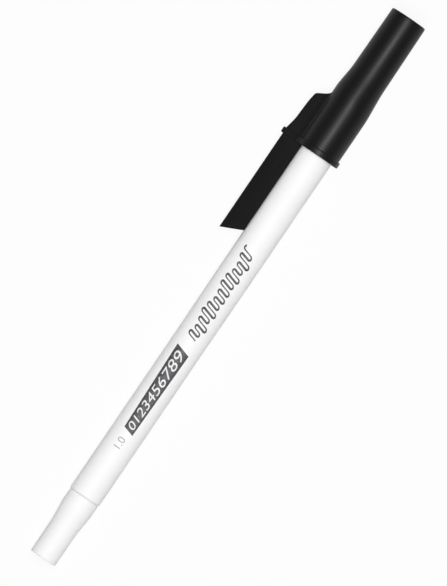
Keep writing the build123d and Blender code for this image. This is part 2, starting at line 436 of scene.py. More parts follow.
def piece_from(form, name, finish, body, node=None):
    """Turn a bmesh into a piece that rides on a body and, if it is named, stands for a CAD node."""
    bmesh.ops.recalc_face_normals(form, faces=form.faces)
    mesh = bpy.data.meshes.new(name)
    form.to_mesh(mesh)
    form.free()
    mesh.shade_smooth()
    mesh.set_sharp_from_angle(angle=SHARP_ANGLE)
    mesh.materials.append(finish)
    piece = bpy.data.objects.new(name, mesh)
    bpy.context.scene.collection.objects.link(piece)
    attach(piece, body)
    if node:
        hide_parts(node)
    size = [round(v / MM, 2) for v in piece.dimensions]
    print(name, "has", len(mesh.polygons), "faces and measures", size, "mm")
    return piece


print("edges that turn by more than", round(math.degrees(SHARP_ANGLE)), "degrees stay crisp")

# %% [markdown]
# ## Barrel
# The barrel is one moulding: a long tube that grows by a tenth of a millimetre on its radius
# towards the cap, a shoulder that stops the cap, and a nose that draws in to the tip holder. The
# nose is an arc that leaves its neck without a kink, so its points come from a circle.

# %% Sizes of the barrel
REAR_X, NOSE_X = ends("barrel")
PARALLEL_LENGTH, DRAFT_LENGTH, DRAFT_BEND = 41.0, 22.0, 60.0
NOSE_LENGTH, NECK_LENGTH, BORE_LEAD = 13.0, 2.5, 1.6
REAR_R, FRONT_R, BORE_R = 3.95, 4.05, 2.85
NECK_R, NOSE_R, NOSE_BORE_R = 3.45, 2.1, 1.55
DRAFT_X = REAR_X + PARALLEL_LENGTH
FRONT_X = DRAFT_X + DRAFT_LENGTH
SHOULDER_X = NOSE_X - NOSE_LENGTH
NECK_X = SHOULDER_X + NECK_LENGTH
print("the barrel's shoulder is at", round(SHOULDER_X, 2), "mm")

# %% Barrel
NOSE_STEPS = 12
drop = NECK_R - NOSE_R
nose_arc_r = ((NOSE_X - NECK_X) ** 2 + drop**2) / (2 * drop)
nose = []
for step in range(1, NOSE_STEPS):
    run = (NOSE_X - NECK_X) * step / NOSE_STEPS
    nose.append((NECK_X + run, NECK_R - nose_arc_r + math.sqrt(nose_arc_r**2 - run**2), 0))

lead_x = SHOULDER_X - BORE_LEAD
barrel_profile = [
    (REAR_X, REAR_R, SEAM_EDGE),
    (DRAFT_X, REAR_R, DRAFT_BEND),
    (FRONT_X, FRONT_R, DRAFT_BEND),
    (SHOULDER_X, FRONT_R, SOFT_EDGE),
    (SHOULDER_X, NECK_R, BROKEN_EDGE),
    (NECK_X, NECK_R, 0),
    *nose,
    (NOSE_X, NOSE_R, BROKEN_EDGE),
    (NOSE_X, NOSE_BORE_R, FIT_EDGE),
    (lead_x + BORE_R - NOSE_BORE_R, NOSE_BORE_R, SOFT_EDGE),
    (lead_x, BORE_R, SOFT_EDGE),
    (REAR_X, BORE_R, BROKEN_EDGE),
]
piece_from(
    spun(barrel_profile), "barrel_moulding", white_polystyrene, "pen", "barrel"
)

# %% [markdown]
# ## End plug
# The plug is pressed into the barrel's rear end. It shows a collar a little slimmer than the
# barrel, a flare, and a straight tail with a flat end. Its rear face keeps the small round gate
# mark where the plastic entered the mould. The two rounded edges at the collar make the fine line
# that parts the plug from the barrel.

# %% End plug
PLUG_REAR_X, PLUG_FRONT_X = ends("end_plug")
TAIL_LENGTH, FLARE_LENGTH, FLARE_BEND, END_WALL = 8.9, 4.7, 6.0, 1.6
COLLAR_R, WAIST_R, TAIL_R = 3.78, 3.34, 3.27
SPIGOT_R, PLUG_BORE_R = 2.84, 1.64
GATE_R, GATE_RIM_R, GATE_DEPTH = 0.55, 0.72, 0.12
gate_x = PLUG_REAR_X + GATE_DEPTH
flare_x = PLUG_REAR_X + TAIL_LENGTH
inner_end_x = PLUG_REAR_X + END_WALL
plug_profile = [
    (gate_x, 0, 0),
    (gate_x, GATE_R, BROKEN_EDGE),
    (PLUG_REAR_X, GATE_RIM_R, BROKEN_EDGE),
    (PLUG_REAR_X, TAIL_R, SOFT_EDGE),
    (flare_x, WAIST_R, FLARE_BEND),
    (flare_x + FLARE_LENGTH, COLLAR_R, FLARE_BEND),
    (REAR_X, COLLAR_R, SEAM_EDGE),
    (REAR_X, SPIGOT_R, FIT_EDGE),
    (PLUG_FRONT_X, SPIGOT_R, BROKEN_EDGE),
    (PLUG_FRONT_X, PLUG_BORE_R, BROKEN_EDGE),
    (inner_end_x, PLUG_BORE_R, SOFT_EDGE),
    (inner_end_x, 0, 0),
]
piece_from(
    spun(plug_profile, closed=False),
    "end_plug_moulding",
    white_polystyrene,
    "pen",
    "end_plug",
)

# %% [markdown]
# ## Cap
# The cap is the one form that isn't round. Its sleeve is a cylinder that a tilted cone trims, so
# its shoulder rises towards the clip. A block carries the clip, and a lip runs around both. Boolean
# and bevel modifiers could make such a form, but bevels fail where so many soft forms meet. Here
# each point of the skin is found as a distance from the axis: every form gives its own distance in
# that direction, the largest one is the surface, and a soft maximum rounds the corners between
# them as a mould does.

# %% Sizes of the cap
SEAT_DEPTH, LIP_HEIGHT, LIP_PROUD = 9.6, 1.4, 0.45
SLEEVE_R, TUBE_FOOT_R, TUBE_TOP_R = 5.14, 4.7, 4.45
FAR_SHOULDER, CLIP_SHOULDER, SHOULDER_RUN = 12.7, 16.5, 6.5
FAR_SLOPE, CLIP_SLOPE = math.radians(4.4), math.radians(6.3)
CLIP_REACH, CLIP_HALF_WIDTH = SLEEVE_R + 3.8, 2.5
BLOCK_REACH, BLOCK_CORNER_REACH = SLEEVE_R + 3.2, SLEEVE_R + 2.9
BLOCK_LENGTH, BLOCK_FLARE, BLOCK_END_RUN = 11.5, 3.0, 1.6
BLOCK_EASE, EASE_DEPTH = 2.2, 0.26
BLOCK_FALL = (BLOCK_CORNER_REACH - SLEEVE_R) / BLOCK_END_RUN
MOUTH_X = SHOULDER_X - SEAT_DEPTH
CAP_TOP_X = ends("cap")[1]
LIP_TOP_X = MOUTH_X + LIP_HEIGHT
FLARE_END_X = LIP_TOP_X + BLOCK_FLARE
BLOCK_CORNER_X = MOUTH_X + BLOCK_LENGTH
FAR_SHOULDER_X = MOUTH_X + FAR_SHOULDER
CLIP_SHOULDER_X = MOUTH_X + CLIP_SHOULDER
print("the cap's mouth is at", round(MOUTH_X, 2), "and its top at", round(CAP_TOP_X, 2), "mm")

# %% The cap's outer surface
RAKE_BLEND, FLARE_BLEND, CORNER_BLEND, FLANK_BLEND, ROOT_BLEND = 0.1, 0.12, 0.5, 0.6, 1.2
LEAST_SINE = 1e-4  # straight out through the clip, a flank is never reached


def soft_max(a, b, blend):
    """The larger of two lengths, with the corner between them rounded where they differ by less
    than blend."""
    overlap = max(0.0, 1 - abs(a - b) / blend)
    return max(a, b) + overlap**2 * blend / 4


def soft_min(a, b, blend):
    """The smaller of two lengths, rounded in the same way."""
    return -soft_max(-a, -b, blend)


def block_reach(x):
    """How far the block that carries the clip stands out from the axis at x. Its face flares out
    to the lip, falls a little, eases inwards before its corner and ends in a slope."""
    if x <= LIP_TOP_X:
        return CLIP_REACH
    flare = BLOCK_REACH + (CLIP_REACH - BLOCK_REACH) * (FLARE_END_X - x) / BLOCK_FLARE
    fall = (BLOCK_REACH - BLOCK_CORNER_REACH) / (BLOCK_CORNER_X - FLARE_END_X)
    face = BLOCK_REACH - fall * (x - FLARE_END_X)
    eased = face - EASE_DEPTH * (x - BLOCK_CORNER_X + BLOCK_EASE) / BLOCK_EASE
    end = BLOCK_CORNER_REACH - BLOCK_FALL * (x - BLOCK_CORNER_X)
    front = soft_min(soft_max(flare, face, FLARE_BLEND), eased, FLARE_BLEND)
    return soft_min(front, end, CORNER_BLEND)


def cap_radius(x, angle, grow):
    """The skin's distance from the axis at x, angle from the clip's direction; grow offsets it."""
    far = SLEEVE_R + (FAR_SHOULDER_X - x) * math.tan(FAR_SLOPE)
    near = SLEEVE_R + (CLIP_SHOULDER_X - x) * math.tan(CLIP_SLOPE)
    off, cone = (near - far) / 2, (near + far) / 2
    rake = off * math.cos(angle) + math.sqrt(max(0.0, cone**2 - (off * math.sin(angle)) ** 2))
    taper = (TUBE_FOOT_R - TUBE_TOP_R) / (CAP_TOP_X - FAR_SHOULDER_X)
    tube = TUBE_FOOT_R - taper * (x - FAR_SHOULDER_X)
    body = soft_max(soft_min(SLEEVE_R, rake, RAKE_BLEND), tube, RAKE_BLEND) + grow
    if abs(angle) >= math.pi / 2:
        return body
    face = (block_reach(x) + grow) / math.cos(angle)
    flank = (CLIP_HALF_WIDTH + grow) / max(LEAST_SINE, abs(math.sin(angle)))
    return soft_max(body, soft_min(face, flank, FLANK_BLEND), ROOT_BLEND)


print("block stands out", round(block_reach(FLARE_END_X), 2), "mm from the axis near the lip")

# %% [markdown]
# The skin is a stack of rings. Rings lie close together where the form turns quickly: at the
# lip's rounded edges, down the block's end and over the top's edge. Around each ring, points are
# dense near the clip and sparse elsewhere. After the top, the rings go back down through the vent
# and the bore to the mouth, so the skin closes on itself and has a real thickness.

# %% Rings of the cap
LIP_EDGE, LIP_STEP, LIP_ROOT, TOP_EDGE, EDGE_STEPS = 0.2, 0.1, 0.03, 0.35, 5
FLANK_FROM, FLANK_TO = 6, 40  # degrees from the clip: the block's corner, flank and root
BEFORE_CORNER, PAST_CORNER = 2.4, 3.4  # the stretch at the block's corner that needs close rings


def spread(start, end, count):
    """Evenly spaced values from start up to, but without, end."""
    return [start + (end - start) * i / count for i in range(count)]


half_turn = spread(0, FLANK_FROM, 4) + spread(FLANK_FROM, FLANK_TO, 68) + spread(FLANK_TO, 180, 56)
angles = [math.radians(a) for a in half_turn + [180] + [-a for a in half_turn[:0:-1]]]
quarter = spread(0, math.pi / 2, EDGE_STEPS) + [math.pi / 2]
mouth_edge = [
    (MOUTH_X + LIP_EDGE * (1 - math.sin(a)), LIP_PROUD - LIP_EDGE * (1 - math.cos(a)))
    for a in quarter[::-1]
]
lip_face = [(x, LIP_PROUD) for x in spread(MOUTH_X + 2 * LIP_EDGE, LIP_TOP_X - LIP_EDGE, 3)]
lip_top_edge = [
    (LIP_TOP_X - LIP_EDGE * (1 - math.sin(a)), LIP_PROUD - LIP_EDGE * (1 - math.cos(a)))
    for a in quarter
]
lip_root = [(LIP_TOP_X, LIP_STEP), (LIP_TOP_X, LIP_ROOT), (LIP_TOP_X + LIP_ROOT, 0.0)]
top_edge = [
    (CAP_TOP_X - TOP_EDGE * (1 - math.sin(a)), -TOP_EDGE * (1 - math.cos(a))) for a in quarter
]
block_end = (BLOCK_CORNER_X - BEFORE_CORNER, BLOCK_CORNER_X + PAST_CORNER)
shoulder_end_x = CLIP_SHOULDER_X + SHOULDER_RUN
sleeve = [
    (x, 0.0)
    for start, end, count in (
        (LIP_TOP_X + LIP_EDGE, FLARE_END_X, 10),
        (FLARE_END_X, block_end[0], 8),
        (*block_end, 46),
        (block_end[1], shoulder_end_x, 26),
        (shoulder_end_x, CAP_TOP_X - TOP_EDGE, 12),
    )
    for x in spread(start, end, count)
]
outer = mouth_edge + lip_face + lip_top_edge + lip_root + sleeve + top_edge
print(len(outer), "rings outside, of", len(angles), "points each")

# %% Bore of the cap
VENT_R, INNER_TOP_R, STOP_R, CAP_BORE_R, MOUTH_CHAMFER = 1.5, 3.5, 3.75, 4.1, 0.15
TOP_THICKNESS = 1.4
inner_top_x = CAP_TOP_X - TOP_THICKNESS
bore = [
    (CAP_TOP_X, 2 * VENT_R, 0),
    (CAP_TOP_X, VENT_R, BROKEN_EDGE),
    (inner_top_x, VENT_R, FIT_EDGE),
    (inner_top_x, INNER_TOP_R, SOFT_EDGE),
    (SHOULDER_X, STOP_R, FIT_EDGE),
    (SHOULDER_X, CAP_BORE_R, FIT_EDGE),
    (MOUTH_X + MOUTH_CHAMFER, CAP_BORE_R, 0),
    (MOUTH_X, CAP_BORE_R + MOUTH_CHAMFER, 0),
]
lining = [(p.x, p.y) for p in softened(bore, closed=False)]
print(len(lining), "rings inside")

# %% [markdown]
# The clip leans down towards the table until the lip beside it touches, so directions around the
# axis are measured from the clip: `to_clip` points out through it, and `flank_up` is square to it.

# %% Skin of the cap
LEAN = math.radians(18.095)
to_clip = Vector((0, math.cos(LEAN), -math.sin(LEAN)))
flank_up = Vector((0, math.sin(LEAN), math.cos(LEAN)))


def on_axis(x, towards_clip, sideways):
    """A point in metres, from millimetres along the pen, out towards the clip and to its side."""
    return (Vector((x, 0, 0)) + to_clip * towards_clip + flank_up * sideways) * MM


cap_rings = [(x, [cap_radius(x, a, grow) for a in angles]) for x, grow in outer]
cap_rings += [(x, [r] * len(angles)) for x, r in lining]
cap_form = bmesh.new()
skin = [
    [cap_form.verts.new(on_axis(x, r * math.cos(a), r * math.sin(a))) for r, a in zip(radii, angles)]
    for x, radii in cap_rings
]
for ring, following in zip(skin, skin[1:] + skin[:1]):
    for i in range(len(ring)):
        cap_form.faces.new((ring[i - 1], ring[i], following[i], following[i - 1]))
print("cap skin:", len(cap_form.faces), "faces")

# %% [markdown]
# ## Clip
# Below the lip the clip is a channel: two side walls and a roof, open towards the barrel, so it is
# light and springs evenly. The walls end just clear of the barrel and follow its curve. The free
# end is cut at a slant and square to the table, so its upper wall is a little longer. The section
# is drawn once as a flat face and carried to the lip, and the end's edges are then bevelled, which
# is how a toolmaker thinks of it: a plain bar first, broken edges last.

# %% Section of the clip
CLIP_WALL, CLIP_ROOF, CLIP_GAP, CLIP_EDGE = 0.9, 1.1, 0.17, 0.35
relief_r = FRONT_R + CLIP_GAP
inner_side = CLIP_HALF_WIDTH - CLIP_WALL
roof_reach = CLIP_REACH - CLIP_ROOF
outer_foot = math.sqrt(relief_r**2 - CLIP_HALF_WIDTH**2)
inner_foot = math.sqrt(relief_r**2 - inner_side**2)
half_section = [(inner_foot, inner_side), (outer_foot, CLIP_HALF_WIDTH)]
half_section += [
    (CLIP_REACH - CLIP_EDGE * (1 - math.sin(a)), CLIP_HALF_WIDTH - CLIP_EDGE * (1 - math.cos(a)))
    for a in quarter
]
section = [(roof_reach, inner_side)] + half_section
section += [(out, -aside) for out, aside in section[::-1]]
print("the clip's section has", len(section), "corners")

# %% Clip
CLIP_LENGTH, CLIP_SLANT, END_EDGE, ROOT_SUNK, CLIP_RUNS = 25.1, 2.45, 0.05, 0.5, 10
clip_form = bmesh.new()
root_x = MOUTH_X + ROOT_SUNK
slant_per_mm = CLIP_SLANT / (CLIP_REACH - outer_foot)
square_per_mm = slant_per_mm * math.tan(LEAN)
sheets = []
for share in spread(0, 1, CLIP_RUNS) + [1]:
    sheet = []
    for out, aside in section:
        slant = slant_per_mm * (CLIP_REACH - out) - square_per_mm * (CLIP_HALF_WIDTH + aside)
        end_x = MOUTH_X - CLIP_LENGTH + slant
        sheet.append(clip_form.verts.new(on_axis(end_x + (root_x - end_x) * share, out, aside)))
    sheets.append(sheet)
for sheet, following in zip(sheets, sheets[1:]):
    for i in range(len(sheet)):
        clip_form.faces.new((sheet[i - 1], sheet[i], following[i], following[i - 1]))
end_face = clip_form.faces.new(sheets[0])
clip_form.faces.new(sheets[-1][::-1])
bmesh.ops.bevel(
    clip_form,
    geom=list(end_face.edges),
    offset=END_EDGE * MM,
    segments=3,
    profile=0.5,
    affect="EDGES",
    clamp_overlap=True,
)
print("clip:", len(clip_form.faces), "faces")

# %% [markdown]
# Cap and clip leave the mould as one piece. The clip's root is sunk half a millimetre into the flat
# underside of the lip, and a Boolean union joins the two closed forms there, where no rounded edge
# is in its way.

# %% Cap and clip as one moulding
def as_object(form, name):
    """A bmesh as an object of the scene that rides on nothing yet."""
    mesh = bpy.data.meshes.new(name)
    bmesh.ops.recalc_face_normals(form, faces=form.faces)
    form.to_mesh(mesh)
    form.free()
    thing = bpy.data.objects.new(name, mesh)
    bpy.context.scene.collection.objects.link(thing)
    return thing


cap_skin, clip_bar = as_object(cap_form, "cap_skin"), as_object(clip_form, "clip_bar")
union = cap_skin.modifiers.new("join", "BOOLEAN")
union.operation, union.solver, union.object = "UNION", "EXACT", clip_bar
whole_cap = bmesh.new()
whole_cap.from_object(cap_skin, bpy.context.evaluated_depsgraph_get())
for thing in (cap_skin, clip_bar):
    bpy.data.meshes.remove(thing.data)
cap = piece_from(whole_cap, "cap_moulding", black_polypropylene, "cap", "cap")

# %% [markdown]
# ## Writing end
# With the cap off, the pen shows its black tip holder, the turned point and the ball. The point's
# shank has a fine groove where the lathe parted its cone from the rod, and its rim is closed over
# the ball so that little more than a quarter of it stands out. Holder and point are profiles spun
# about the axis. A spun ball would have a pinched pole just where the pen writes, so the ball is a
# cube with its faces divided and every point pushed out to the same radius.

# %% Tip holder
HOLDER_REAR_X, HOLDER_FRONT_X = ends("tip_holder")
POINT_REAR_X, RIM_X = ends("writing_point")
HOLDER_SPIGOT_LENGTH, HOLDER_SPIGOT_R, FEED_R = 5.0, 0.99, 0.5
HOLDER_R, HOLDER_MOUTH_R, SOCKET_R = 1.54, 1.5, 1.16
holder_step_x = HOLDER_REAR_X + HOLDER_SPIGOT_LENGTH
holder_profile = [
    (HOLDER_REAR_X, FEED_R, FIT_EDGE),
    (HOLDER_REAR_X, HOLDER_SPIGOT_R, BROKEN_EDGE),
    (holder_step_x, HOLDER_SPIGOT_R, FIT_EDGE),
    (holder_step_x, HOLDER_R, BROKEN_EDGE),
    (NOSE_X, HOLDER_R, FIT_EDGE),
    (NOSE_X, NOSE_R, BROKEN_EDGE),
    (HOLDER_FRONT_X, HOLDER_MOUTH_R, BROKEN_EDGE),
    (HOLDER_FRONT_X, SOCKET_R, FIT_EDGE),
    (POINT_REAR_X, SOCKET_R, FIT_EDGE),
    (POINT_REAR_X, FEED_R, FIT_EDGE),
]
piece_from(
    spun(holder_profile),
    "tip_holder_moulding",
    black_polypropylene,
    "pen",
    "tip_holder",
)

# %% Writing point
SHANK_R, NIB_R, POINT_FEED_R = 1.15, 0.7, 0.3
STRAIGHT, CONE_LENGTH, CRIMP_LENGTH, TURNED_EDGE = 0.6, 3.7, 0.45, 0.02
GROOVE_X, GROOVE_DEPTH = HOLDER_FRONT_X + 0.1, 0.05
SEAT_R, RIM_WIDTH, CRIMP = 0.52, 0.05, math.radians(25)
SEAT_STEPS, POINT_STEPS = 12, 96
ball_low, ball_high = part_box("writing_ball")
BALL_X = (ball_low.x + ball_high.x) / 2 / MM
cone_x = HOLDER_FRONT_X + STRAIGHT
rim_r = SEAT_R * math.cos(CRIMP)
seat_rim, seat_feed = math.pi / 2 - CRIMP, math.pi - math.asin(POINT_FEED_R / SEAT_R)
point_profile = [
    (POINT_REAR_X, POINT_FEED_R, FIT_EDGE),
    (POINT_REAR_X, SHANK_R, BROKEN_EDGE),
    (GROOVE_X, SHANK_R, TURNED_EDGE),
    (GROOVE_X + GROOVE_DEPTH, SHANK_R - GROOVE_DEPTH, TURNED_EDGE),
    (GROOVE_X + 3 * GROOVE_DEPTH, SHANK_R - GROOVE_DEPTH, TURNED_EDGE),
    (GROOVE_X + 4 * GROOVE_DEPTH, SHANK_R, TURNED_EDGE),
    (cone_x, SHANK_R, FIT_EDGE),
    (cone_x + CONE_LENGTH, NIB_R, BROKEN_EDGE),
    (RIM_X - CRIMP_LENGTH, NIB_R, BROKEN_EDGE),
    (RIM_X, rim_r + RIM_WIDTH, TURNED_EDGE),
]
for a in spread(seat_rim, seat_feed, SEAT_STEPS) + [seat_feed]:
    point_profile.append((BALL_X + SEAT_R * math.cos(a), SEAT_R * math.sin(a), 0))
piece_from(
    spun(point_profile, steps=POINT_STEPS),
    "turned_point",
    nickel_silver,
    "pen",
    "writing_point",
)

# %% Writing ball
BALL_R, BALL_CUTS = 0.5, 15
ball_form = bmesh.new()
bmesh.ops.create_cube(ball_form, size=1.0)
bmesh.ops.subdivide_edges(ball_form, edges=ball_form.edges, cuts=BALL_CUTS, use_grid_fill=True)
for dot in ball_form.verts:
    dot.co = (Vector((BALL_X, 0, 0)) + dot.co.normalized() * BALL_R) * MM
piece_from(ball_form, "carbide_ball", carbide, "ball", "writing_ball")

# %% [markdown]
# ## Print on the barrel
# A pen of this kind carries print here. This one has plain marks of a usual size and weight: a
# scribble like the one that starts the ink, a bar with the ten digits, and the ball's size in
# millimetres. Pad printing lays down a film so thin that the white below shows through in fine
# specks. An image could be projected onto the barrel, but a film drawn flat and then bent around
# the barrel stays sharp at any distance.

# %% Pad-print inks
SPECK_MM = 0.25
COVERED, THIN = 0.5, 0.72  # the speck noise is this low under full ink, this high where it is thin
MATT, DRY = 0.45, 0.6  # roughness of full ink and of thin ink


def print_ink(name, full, thin):
    """A matt film of ink, full where it covers and paler in specks where it is thin."""
    material, place = blank_material(name)
    specks = add_node(
        material, "ShaderNodeTexNoise", {"Vector": place, "Scale": per_mm(SPECK_MM), "Detail": 3.0}
    )
    thin_spots = add_node(
        material,
        "ShaderNodeMapRange",
        {"Value": specks.outputs["Fac"], "From Min": COVERED, "From Max": THIN},
    )
    tone = add_node(
        material,
        "ShaderNodeMix",
        {0: thin_spots.outputs["Result"], 6: linear(full), 7: linear(thin)},
        data_type="RGBA",
    )
    matt = add_node(
        material,
        "ShaderNodeMapRange",
        {"Value": specks.outputs["Fac"], "To Min": MATT, "To Max": DRY},
    )
    shader = add_node(
        material,
        "ShaderNodeBsdfPrincipled",
        {"Base Color": tone.outputs[2], "Roughness": matt.outputs["Result"]},
    )
    add_node(material, "ShaderNodeOutputMaterial", {"Surface": shader.outputs["BSDF"]})
    return material


charcoal_ink = print_ink("pad_print_ink_charcoal", full="#3c3c3e", thin="#6c6c70")
grey_ink = print_ink("pad_print_ink_grey", full="#9a9a9c", thin="#c0c0c2")
white_ink = print_ink("pad_print_ink_white", full="#e4e4e4", thin="#cfcfd1")
print("inks:", charcoal_ink.name, grey_ink.name, white_ink.name)

# %% [markdown]
# A flat print has x along the pen and y around it, both in millimetres. Bending it means turning
# each y into an angle about the axis. The sheet first gets a thickness, and its lower side ends up
# inside the barrel's wall, so no gap can show under its edge.

# %% Bend a flat print around the barrel
FILM_MM, SUNK_MM = 0.012, 0.02


def bent_print(flat, name, finish, layer=1):
    """Bend a flat bmesh around the barrel; a second layer lies on top of the first."""
    bmesh.ops.recalc_face_normals(flat, faces=flat.faces)
    top = list(flat.faces)
    under = bmesh.ops.extrude_face_region(flat, geom=top)["geom"]
    for dot in [part for part in under if isinstance(part, bmesh.types.BMVert)]:
        dot.co.z = -FILM_MM - SUNK_MM
    for dot in flat.verts:
        x, around, depth = dot.co
        draft = min(1.0, max(0.0, (x - DRAFT_X) / DRAFT_LENGTH))
        radius = REAR_R + (FRONT_R - REAR_R) * draft
        turn = around / radius
        radius += layer * FILM_MM + depth
        dot.co = Vector((x, radius * math.sin(turn), radius * math.cos(turn))) * MM
    return piece_from(flat, name, finish, "pen")


print("a print stands", FILM_MM, "mm proud and reaches", SUNK_MM, "mm into the wall")

# %% [markdown]
# The scribble goes up and down along the pen. Its tops, feet and spacing come from sine waves that
# never fall into step, so no two strokes are alike, and yet each run gives the same scribble. Down
# strokes are broader than up strokes, as with a flexible nib.

# %% Scribble
PRINT_SLANT = 0.3
SCRIBBLE_X, SCRIBBLE_STROKES, SCRIBBLE_PITCH, SCRIBBLE_REACH = 60.6, 25, 0.95, 0.95
PITCH_WAVE, TOP_WAVE, FOOT_WAVE = (0.1, 3.1), (0.5, 2.4), (0.4, 1.7)  # height, radians per stroke
STROKE, STROKE_SWELL = 0.21, 0.06
RUN_STEPS, TURN_STEPS = 10, 10


def sway(wave, stroke):
    """How far a wave of (height, radians per stroke) departs from zero at one stroke."""
    return wave[0] * math.sin(wave[1] * stroke)


path = []
x, foot = SCRIBBLE_X, -1.0
for k in range(SCRIBBLE_STROKES):
    rising = k % 2 == 0
    pitch = SCRIBBLE_PITCH + sway(PITCH_WAVE, k)
    reach = SCRIBBLE_REACH + sway(TOP_WAVE, k) if rising else sway(FOOT_WAVE, k) - SCRIBBLE_REACH
    path += [Vector((x, y)) for y in spread(foot, reach, RUN_STEPS)]
    bulge = pitch / 2 if rising else -pitch / 2
    for a in spread(0, math.pi, TURN_STEPS):
        path.append(Vector((x + pitch / 2 * (1 - math.cos(a)), reach + bulge * math.sin(a))))
    x, foot = x + pitch, reach
path = [Vector((dot.x + PRINT_SLANT * dot.y, dot.y, 0)) for dot in path]
print("the scribble has", len(path), "points")

# %% Ribbon along the scribble
scribble = bmesh.new()
edges = []
for i, dot in enumerate(path):
    ahead = (path[min(i + 1, len(path) - 1)] - path[max(i - 1, 0)]).normalized()
    aside = Vector((-ahead.y, ahead.x, 0)) * (STROKE - STROKE_SWELL * ahead.y)
    edges.append([scribble.verts.new(dot + aside), scribble.verts.new(dot - aside)])
for (a, b), (c, d) in zip(edges, edges[1:]):
    scribble.faces.new((a, b, d, c))
bent_print(scribble, "print_scribble", charcoal_ink)

# %% [markdown]
# The bar grows towards the cap, and its digits grow with it. Digits come from Blender's own font.
# Its figures are large flat faces, which would cut through the barrel as chords when bent, so they
# are first cut into narrow strips along the pen. Their places are then read as shares of their own
# box and set out again on the bar.

# %% Bar
BAR_X, BAR_LENGTH, BAR_COLUMNS, BAR_ROWS = 34.8, 22.2, 24, 12
BAR_LOW, BAR_HIGH = (-1.25, -1.75), (1.5, 2.15)


def on_bar(along, across):
    """A flat place on the bar, from shares of 0 to 1 of its length and its height."""
    low = BAR_LOW[0] + (BAR_LOW[1] - BAR_LOW[0]) * along
    high = BAR_HIGH[0] + (BAR_HIGH[1] - BAR_HIGH[0]) * along
    y = low + (high - low) * across
    return Vector((BAR_X + BAR_LENGTH * along + PRINT_SLANT * y, y, 0))


bar = bmesh.new()
columns = [
    [bar.verts.new(on_bar(i / BAR_COLUMNS, j / BAR_ROWS)) for j in range(BAR_ROWS + 1)]
    for i in range(BAR_COLUMNS + 1)
]
for column, following in zip(columns, columns[1:]):
    for j in range(BAR_ROWS):
        bar.faces.new((column[j], following[j], following[j + 1], column[j + 1]))
bent_print(bar, "print_bar", charcoal_ink)

# %% Digits, flat and in strips
STRIP_MM, MOST_STRIPS, SLIVER_MM = 0.2, 15, 0.003


def digits(text, size_mm):
    """Flat digits, centred on the origin and cut into strips along the pen."""
    lettering = bpy.data.curves.new("digits", "FONT")
    lettering.body = text
    lettering.size = size_mm
    lettering.align_x, lettering.align_y = "CENTER", "CENTER"
    writer = bpy.data.objects.new("digits", lettering)
    sheet = bpy.data.meshes.new_from_object(writer)
    flat = bmesh.new()
    flat.from_mesh(sheet)
    bpy.data.curves.remove(lettering)
    bpy.data.meshes.remove(sheet)
    for i in range(-MOST_STRIPS, MOST_STRIPS + 1):
        everything = list(flat.verts) + list(flat.edges) + list(flat.faces)
        bmesh.ops.bisect_plane(
            flat, geom=everything, plane_co=(0, STRIP_MM * i, 0), plane_no=(0, 1, 0)
        )
    bmesh.ops.remove_doubles(flat, verts=flat.verts, dist=SLIVER_MM)
    bmesh.ops.dissolve_degenerate(flat, dist=SLIVER_MM, edges=flat.edges)
    return flat


print("digits are cut into strips of", STRIP_MM, "mm")

# %% Digits on the bar
DIGIT_MM, MARGIN_ALONG, MARGIN_ACROSS = 3.0, 0.035, 0.17
growth = (BAR_HIGH[1] - BAR_LOW[1]) / (BAR_HIGH[0] - BAR_LOW[0])
ten_digits = digits("0123456789", DIGIT_MM)
left, right = [pick(dot.co.x for dot in ten_digits.verts) for pick in (min, max)]
foot, top = [pick(dot.co.y for dot in ten_digits.verts) for pick in (min, max)]
for dot in ten_digits.verts:
    along = (growth ** ((dot.co.x - left) / (right - left)) - 1) / (growth - 1)
    across = (dot.co.y - foot) / (top - foot)
    dot.co = on_bar(
        MARGIN_ALONG + (1 - 2 * MARGIN_ALONG) * along,
        MARGIN_ACROSS + (1 - 2 * MARGIN_ACROSS) * across,
    )
bent_print(ten_digits, "print_bar_digits", white_ink, layer=2)

# %% Ball size
SIZE_MARK_MM, SIZE_MARK_X, SIZE_MARK_Y = 2.6, 31.4, 0.2
ball_size = digits("1.0", SIZE_MARK_MM)
bmesh.ops.translate(ball_size, verts=ball_size.verts, vec=(SIZE_MARK_X, SIZE_MARK_Y, 0))
bent_print(ball_size, "print_ball_size", grey_ink)

# %% [markdown]
# ## Floor, light and camera
# The pen lies on a plain white sheet that curves up far behind it, so that even a low camera sees
# white. The pen rests on the cap's lip and on the barrel's rear edge, and since the lip stands out
# further, the sheet is tilted by one degree against the pen's axis. To the camera the sheet is
# mostly its own white, as on a catalogue page, but a part of what it shows is still lit, so the
# pen keeps its soft shadow.

# %% Floor
FLAT_M, CURVE_M, WALL_M, FLOOR_GAP_MM = 5.0, 0.4, 0.7, 0.01
FLAT_RINGS, CURVE_RINGS, FLOOR_STEPS, SAME_POINT_M = 4, 12, 96, 1e-6
sweep = bmesh.new()
outline = [(r, 0.0) for r in spread(0.0, FLAT_M, FLAT_RINGS)] + [(FLAT_M, 0.0)]
outline += [
    (FLAT_M + CURVE_M * math.sin(a), CURVE_M * (1 - math.cos(a)))
    for a in spread(0, math.pi / 2, CURVE_RINGS)[1:] + [math.pi / 2]
]
outline.append((FLAT_M + CURVE_M, WALL_M))
dots = [sweep.verts.new((r, 0, z)) for r, z in outline]
lines = [sweep.edges.new(pair) for pair in zip(dots, dots[1:])]
bmesh.ops.spin(
    sweep, geom=dots + lines, axis=(0, 0, 1), cent=(0, 0, 0), angle=math.tau, steps=FLOOR_STEPS
)
bmesh.ops.remove_doubles(sweep, verts=sweep.verts, dist=SAME_POINT_M)
floor = as_object(sweep, "floor_sheet")
floor.data.shade_smooth()
lowest = min(v.co.z for v in cap.data.vertices)
tilt = math.atan((-lowest / MM - REAR_R) / (MOUTH_X - REAR_X))
floor.location = (MOUTH_X * MM, 0, lowest - FLOOR_GAP_MM * MM)
floor.rotation_euler = (0, tilt, 0)
